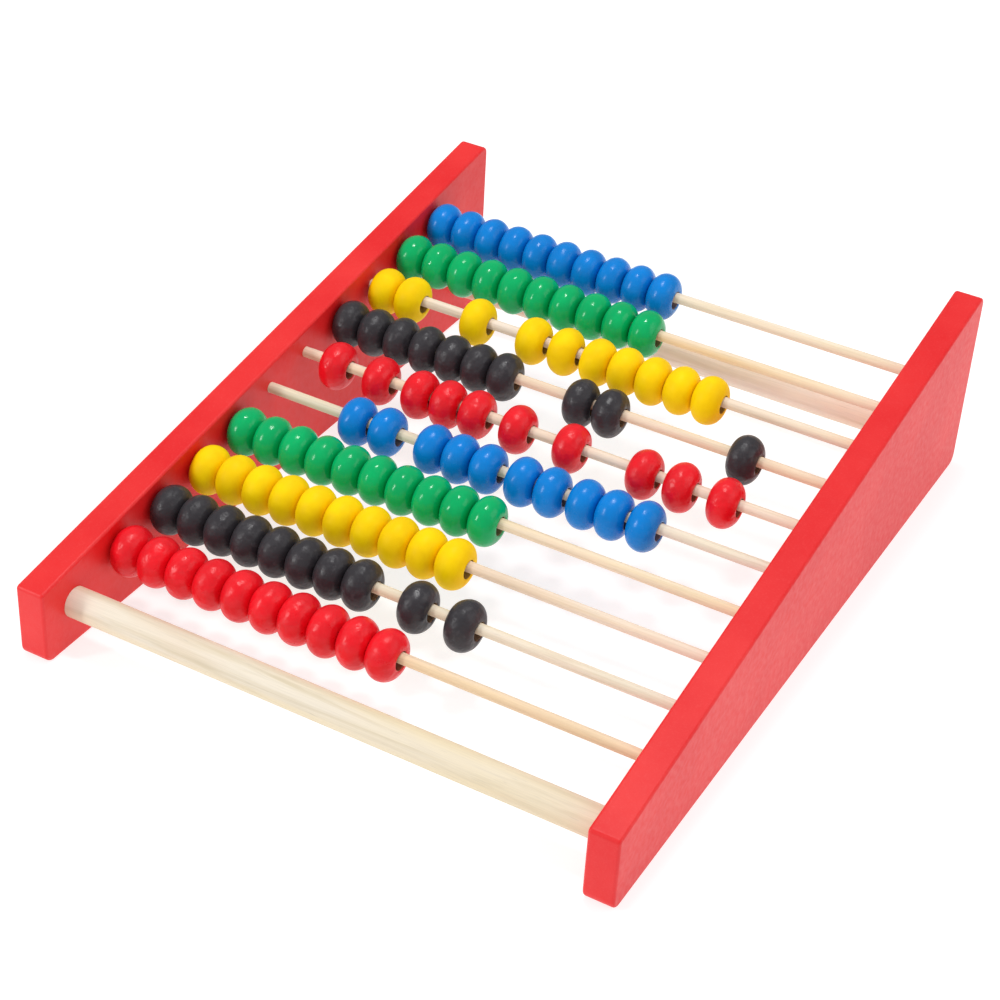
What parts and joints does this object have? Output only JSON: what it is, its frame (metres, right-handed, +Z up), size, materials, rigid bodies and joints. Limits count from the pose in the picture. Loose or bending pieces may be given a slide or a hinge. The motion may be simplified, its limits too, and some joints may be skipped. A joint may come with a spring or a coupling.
{
  "type": "abacus",
  "caption": "Sloping counting frame: two painted wedge-shaped side boards, two tie dowels and thin rods that carry sliding ring beads.",
  "frame": {"origin": "middle of the footprint, at the height of the surface that the two side boards stand on", "axes": "+X along the rods towards the right-hand board, +Y from the low front edge towards the tall back edge, +Z up"},
  "size_m": [0.2336, 0.3, 0.0771],
  "materials": {
    "side_paint": "satin red paint on board",
    "bare_wood": "bare pale dowel, lightly sealed",
    "bead_blue": "glossy paint",
    "bead_green": "glossy paint",
    "bead_yellow": "satin paint",
    "bead_black": "satin paint",
    "bead_red": "satin paint"
  },
  "bodies": {
    "frame": {"left_side_board": "side_paint", "right_side_board": "side_paint", "front_dowel": "bare_wood", "rear_dowel": "bare_wood", "rod_1": "bare_wood", "rod_2": "bare_wood", "rod_3": "bare_wood", "rod_4": "bare_wood", "rod_5": "bare_wood", "rod_6": "bare_wood", "rod_7": "bare_wood", "rod_8": "bare_wood", "rod_9": "bare_wood", "rod_10": "bare_wood"},
    "row_1_beads_1_to_4": {"row_1_beads_1_to_4": "bead_blue"},
    "row_1_beads_5_to_7": {"row_1_beads_5_to_7": "bead_blue"},
    "row_1_beads_8_to_9": {"row_1_beads_8_to_9": "bead_blue"},
    "row_1_bead_10": {"row_1_bead_10": "bead_blue"},
    "row_2_beads_1_to_4": {"row_2_beads_1_to_4": "bead_green"},
    "row_2_beads_5_to_7": {"row_2_beads_5_to_7": "bead_green"},
    "row_2_beads_8_to_9": {"row_2_beads_8_to_9": "bead_green"},
    "row_2_bead_10": {"row_2_bead_10": "bead_green"},
    "row_3_beads_1_to_2": {"row_3_beads_1_to_2": "bead_yellow"},
    "row_3_bead_3": {"row_3_bead_3": "bead_yellow"},
    "row_3_bead_4": {"row_3_bead_4": "bead_yellow"},
    "row_3_bead_5": {"row_3_bead_5": "bead_yellow"},
    "row_3_beads_6_to_10": {"row_3_beads_6_to_10": "bead_yellow"},
    "row_4_beads_1_to_4": {"row_4_beads_1_to_4": "bead_black"},
    "row_4_beads_5_to_7": {"row_4_beads_5_to_7": "bead_black"},
    "row_4_beads_8_to_9": {"row_4_beads_8_to_9": "bead_black"},
    "row_4_bead_10": {"row_4_bead_10": "bead_black"},
    "row_5_bead_1": {"row_5_bead_1": "bead_red"},
    "row_5_bead_2": {"row_5_bead_2": "bead_red"},
    "row_5_beads_3_to_5": {"row_5_beads_3_to_5": "bead_red"},
    "row_5_bead_6": {"row_5_bead_6": "bead_red"},
    "row_5_bead_7": {"row_5_bead_7": "bead_red"},
    "row_5_bead_8": {"row_5_bead_8": "bead_red"},
    "row_5_bead_9": {"row_5_bead_9": "bead_red"},
    "row_5_bead_10": {"row_5_bead_10": "bead_red"},
    "row_6_beads_1_to_2": {"row_6_beads_1_to_2": "bead_blue"},
    "row_6_beads_3_to_5": {"row_6_beads_3_to_5": "bead_blue"},
    "row_6_beads_6_to_7": {"row_6_beads_6_to_7": "bead_blue"},
    "row_6_beads_8_to_9": {"row_6_beads_8_to_9": "bead_blue"},
    "row_6_bead_10": {"row_6_bead_10": "bead_blue"},
    "row_7_beads_1_to_4": {"row_7_beads_1_to_4": "bead_green"},
    "row_7_beads_5_to_7": {"row_7_beads_5_to_7": "bead_green"},
    "row_7_beads_8_to_9": {"row_7_beads_8_to_9": "bead_green"},
    "row_7_bead_10": {"row_7_bead_10": "bead_green"},
    "row_8_beads_1_to_4": {"row_8_beads_1_to_4": "bead_yellow"},
    "row_8_beads_5_to_7": {"row_8_beads_5_to_7": "bead_yellow"},
    "row_8_beads_8_to_9": {"row_8_beads_8_to_9": "bead_yellow"},
    "row_8_bead_10": {"row_8_bead_10": "bead_yellow"},
    "row_9_beads_1_to_4": {"row_9_beads_1_to_4": "bead_black"},
    "row_9_beads_5_to_8": {"row_9_beads_5_to_8": "bead_black"},
    "row_9_bead_9": {"row_9_bead_9": "bead_black"},
    "row_9_bead_10": {"row_9_bead_10": "bead_black"},
    "row_10_beads_1_to_4": {"row_10_beads_1_to_4": "bead_red"},
    "row_10_beads_5_to_7": {"row_10_beads_5_to_7": "bead_red"},
    "row_10_beads_8_to_9": {"row_10_beads_8_to_9": "bead_red"},
    "row_10_bead_10": {"row_10_bead_10": "bead_red"}
  },
  "joints": [
    {"name": "row_1_beads_1_to_4_slide", "type": "slide", "parent": "frame", "child": "row_1_beads_1_to_4", "axis": [1, 0, 0], "range_m": [0, 0.0246]},
    {"name": "row_1_beads_5_to_7_slide", "type": "slide", "parent": "row_1_beads_1_to_4", "child": "row_1_beads_5_to_7", "axis": [1, 0, 0], "range_m": [0, 0.0246]},
    {"name": "row_1_beads_8_to_9_slide", "type": "slide", "parent": "row_1_beads_5_to_7", "child": "row_1_beads_8_to_9", "axis": [1, 0, 0], "range_m": [0, 0.0246]},
    {"name": "row_1_bead_10_slide", "type": "slide", "parent": "row_1_beads_8_to_9", "child": "row_1_bead_10", "axis": [1, 0, 0], "range_m": [0, 0.0246]},
    {"name": "row_2_beads_1_to_4_slide", "type": "slide", "parent": "frame", "child": "row_2_beads_1_to_4", "axis": [1, 0, 0], "range_m": [0, 0.02335]},
    {"name": "row_2_beads_5_to_7_slide", "type": "slide", "parent": "row_2_beads_1_to_4", "child": "row_2_beads_5_to_7", "axis": [1, 0, 0], "range_m": [0, 0.02335]},
    {"name": "row_2_beads_8_to_9_slide", "type": "slide", "parent": "row_2_beads_5_to_7", "child": "row_2_beads_8_to_9", "axis": [1, 0, 0], "range_m": [0, 0.02335]},
    {"name": "row_2_bead_10_slide", "type": "slide", "parent": "row_2_beads_8_to_9", "child": "row_2_bead_10", "axis": [1, 0, 0], "range_m": [0, 0.02335]},
    {"name": "row_3_beads_1_to_2_slide", "type": "slide", "parent": "frame", "child": "row_3_beads_1_to_2", "axis": [1, 0, 0], "range_m": [-0.0015, 0.0181]},
    {"name": "row_3_bead_3_slide", "type": "slide", "parent": "frame", "child": "row_3_bead_3", "axis": [1, 0, 0], "range_m": [-0.0181, 0.0132]},
    {"name": "row_3_bead_4_slide", "type": "slide", "parent": "frame", "child": "row_3_bead_4", "axis": [1, 0, 0], "range_m": [-0.0132, 0.0023]},
    {"name": "row_3_bead_5_slide", "type": "slide", "parent": "frame", "child": "row_3_bead_5", "axis": [1, 0, 0], "range_m": [-0.0023, 0.0021]},
    {"name": "row_3_beads_6_to_10_slide", "type": "slide", "parent": "frame", "child": "row_3_beads_6_to_10", "axis": [1, 0, 0], "range_m": [-0.0021, 0.0542]},
    {"name": "row_4_beads_1_to_4_slide", "type": "slide", "parent": "frame", "child": "row_4_beads_1_to_4", "axis": [1, 0, 0], "range_m": [0, 0.0106]},
    {"name": "row_4_beads_5_to_7_slide", "type": "slide", "parent": "row_4_beads_1_to_4", "child": "row_4_beads_5_to_7", "axis": [1, 0, 0], "range_m": [0, 0.0106]},
    {"name": "row_4_beads_8_to_9_slide", "type": "slide", "parent": "frame", "child": "row_4_beads_8_to_9", "axis": [1, 0, 0], "range_m": [-0.0212, 0.0439]},
    {"name": "row_4_bead_10_slide", "type": "slide", "parent": "frame", "child": "row_4_bead_10", "axis": [1, 0, 0], "range_m": [-0.0439, 0.0284]},
    {"name": "row_5_bead_1_slide", "type": "slide", "parent": "frame", "child": "row_5_bead_1", "axis": [1, 0, 0], "range_m": [-0.0093, 0.0078]},
    {"name": "row_5_bead_2_slide", "type": "slide", "parent": "frame", "child": "row_5_bead_2", "axis": [1, 0, 0], "range_m": [-0.0078, 0.0057]},
    {"name": "row_5_beads_3_to_5_slide", "type": "slide", "parent": "frame", "child": "row_5_beads_3_to_5", "axis": [1, 0, 0], "range_m": [-0.0057, 0.006]},
    {"name": "row_5_bead_6_slide", "type": "slide", "parent": "frame", "child": "row_5_bead_6", "axis": [1, 0, 0], "range_m": [-0.006, 0.0108]},
    {"name": "row_5_bead_7_slide", "type": "slide", "parent": "frame", "child": "row_5_bead_7", "axis": [1, 0, 0], "range_m": [-0.0108, 0.0185]},
    {"name": "row_5_bead_8_slide", "type": "slide", "parent": "frame", "child": "row_5_bead_8", "axis": [1, 0, 0], "range_m": [-0.0185, 0.0033]},
    {"name": "row_5_bead_9_slide", "type": "slide", "parent": "frame", "child": "row_5_bead_9", "axis": [1, 0, 0], "range_m": [-0.0033, 0.0058]},
    {"name": "row_5_bead_10_slide", "type": "slide", "parent": "frame", "child": "row_5_bead_10", "axis": [1, 0, 0], "range_m": [-0.0058, 0.0247]},
    {"name": "row_6_beads_1_to_2_slide", "type": "slide", "parent": "frame", "child": "row_6_beads_1_to_2", "axis": [1, 0, 0], "range_m": [-0.0336, 0.0083]},
    {"name": "row_6_beads_3_to_5_slide", "type": "slide", "parent": "frame", "child": "row_6_beads_3_to_5", "axis": [1, 0, 0], "range_m": [-0.0083, 0.0032]},
    {"name": "row_6_beads_6_to_7_slide", "type": "slide", "parent": "frame", "child": "row_6_beads_6_to_7", "axis": [1, 0, 0], "range_m": [-0.0032, 0.0019]},
    {"name": "row_6_beads_8_to_9_slide", "type": "slide", "parent": "frame", "child": "row_6_beads_8_to_9", "axis": [1, 0, 0], "range_m": [-0.0019, 0.001]},
    {"name": "row_6_bead_10_slide", "type": "slide", "parent": "frame", "child": "row_6_bead_10", "axis": [1, 0, 0], "range_m": [-0.001, 0.0444]},
    {"name": "row_7_beads_1_to_4_slide", "type": "slide", "parent": "frame", "child": "row_7_beads_1_to_4", "axis": [1, 0, 0], "range_m": [0, 0.02385]},
    {"name": "row_7_beads_5_to_7_slide", "type": "slide", "parent": "row_7_beads_1_to_4", "child": "row_7_beads_5_to_7", "axis": [1, 0, 0], "range_m": [0, 0.02385]},
    {"name": "row_7_beads_8_to_9_slide", "type": "slide", "parent": "row_7_beads_5_to_7", "child": "row_7_beads_8_to_9", "axis": [1, 0, 0], "range_m": [0, 0.02385]},
    {"name": "row_7_bead_10_slide", "type": "slide", "parent": "row_7_beads_8_to_9", "child": "row_7_bead_10", "axis": [1, 0, 0], "range_m": [0, 0.02385]},
    {"name": "row_8_beads_1_to_4_slide", "type": "slide", "parent": "frame", "child": "row_8_beads_1_to_4", "axis": [1, 0, 0], "range_m": [0, 0.0236]},
    {"name": "row_8_beads_5_to_7_slide", "type": "slide", "parent": "row_8_beads_1_to_4", "child": "row_8_beads_5_to_7", "axis": [1, 0, 0], "range_m": [0, 0.0236]},
    {"name": "row_8_beads_8_to_9_slide", "type": "slide", "parent": "row_8_beads_5_to_7", "child": "row_8_beads_8_to_9", "axis": [1, 0, 0], "range_m": [0, 0.0236]},
    {"name": "row_8_bead_10_slide", "type": "slide", "parent": "row_8_beads_8_to_9", "child": "row_8_bead_10", "axis": [1, 0, 0], "range_m": [0, 0.0236]},
    {"name": "row_9_beads_1_to_4_slide", "type": "slide", "parent": "frame", "child": "row_9_beads_1_to_4", "axis": [1, 0, 0], "range_m": [0, 0.00555]},
    {"name": "row_9_beads_5_to_8_slide", "type": "slide", "parent": "row_9_beads_1_to_4", "child": "row_9_beads_5_to_8", "axis": [1, 0, 0], "range_m": [0, 0.00555]},
    {"name": "row_9_bead_9_slide", "type": "slide", "parent": "frame", "child": "row_9_bead_9", "axis": [1, 0, 0], "range_m": [-0.0111, 0.007]},
    {"name": "row_9_bead_10_slide", "type": "slide", "parent": "frame", "child": "row_9_bead_10", "axis": [1, 0, 0], "range_m": [-0.007, 0.0763]},
    {"name": "row_10_beads_1_to_4_slide", "type": "slide", "parent": "frame", "child": "row_10_beads_1_to_4", "axis": [1, 0, 0], "range_m": [0, 0.0231]},
    {"name": "row_10_beads_5_to_7_slide", "type": "slide", "parent": "row_10_beads_1_to_4", "child": "row_10_beads_5_to_7", "axis": [1, 0, 0], "range_m": [0, 0.0231]},
    {"name": "row_10_beads_8_to_9_slide", "type": "slide", "parent": "row_10_beads_5_to_7", "child": "row_10_beads_8_to_9", "axis": [1, 0, 0], "range_m": [0, 0.0231]},
    {"name": "row_10_bead_10_slide", "type": "slide", "parent": "row_10_beads_8_to_9", "child": "row_10_bead_10", "axis": [1, 0, 0], "range_m": [0, 0.0231]}
  ]
}
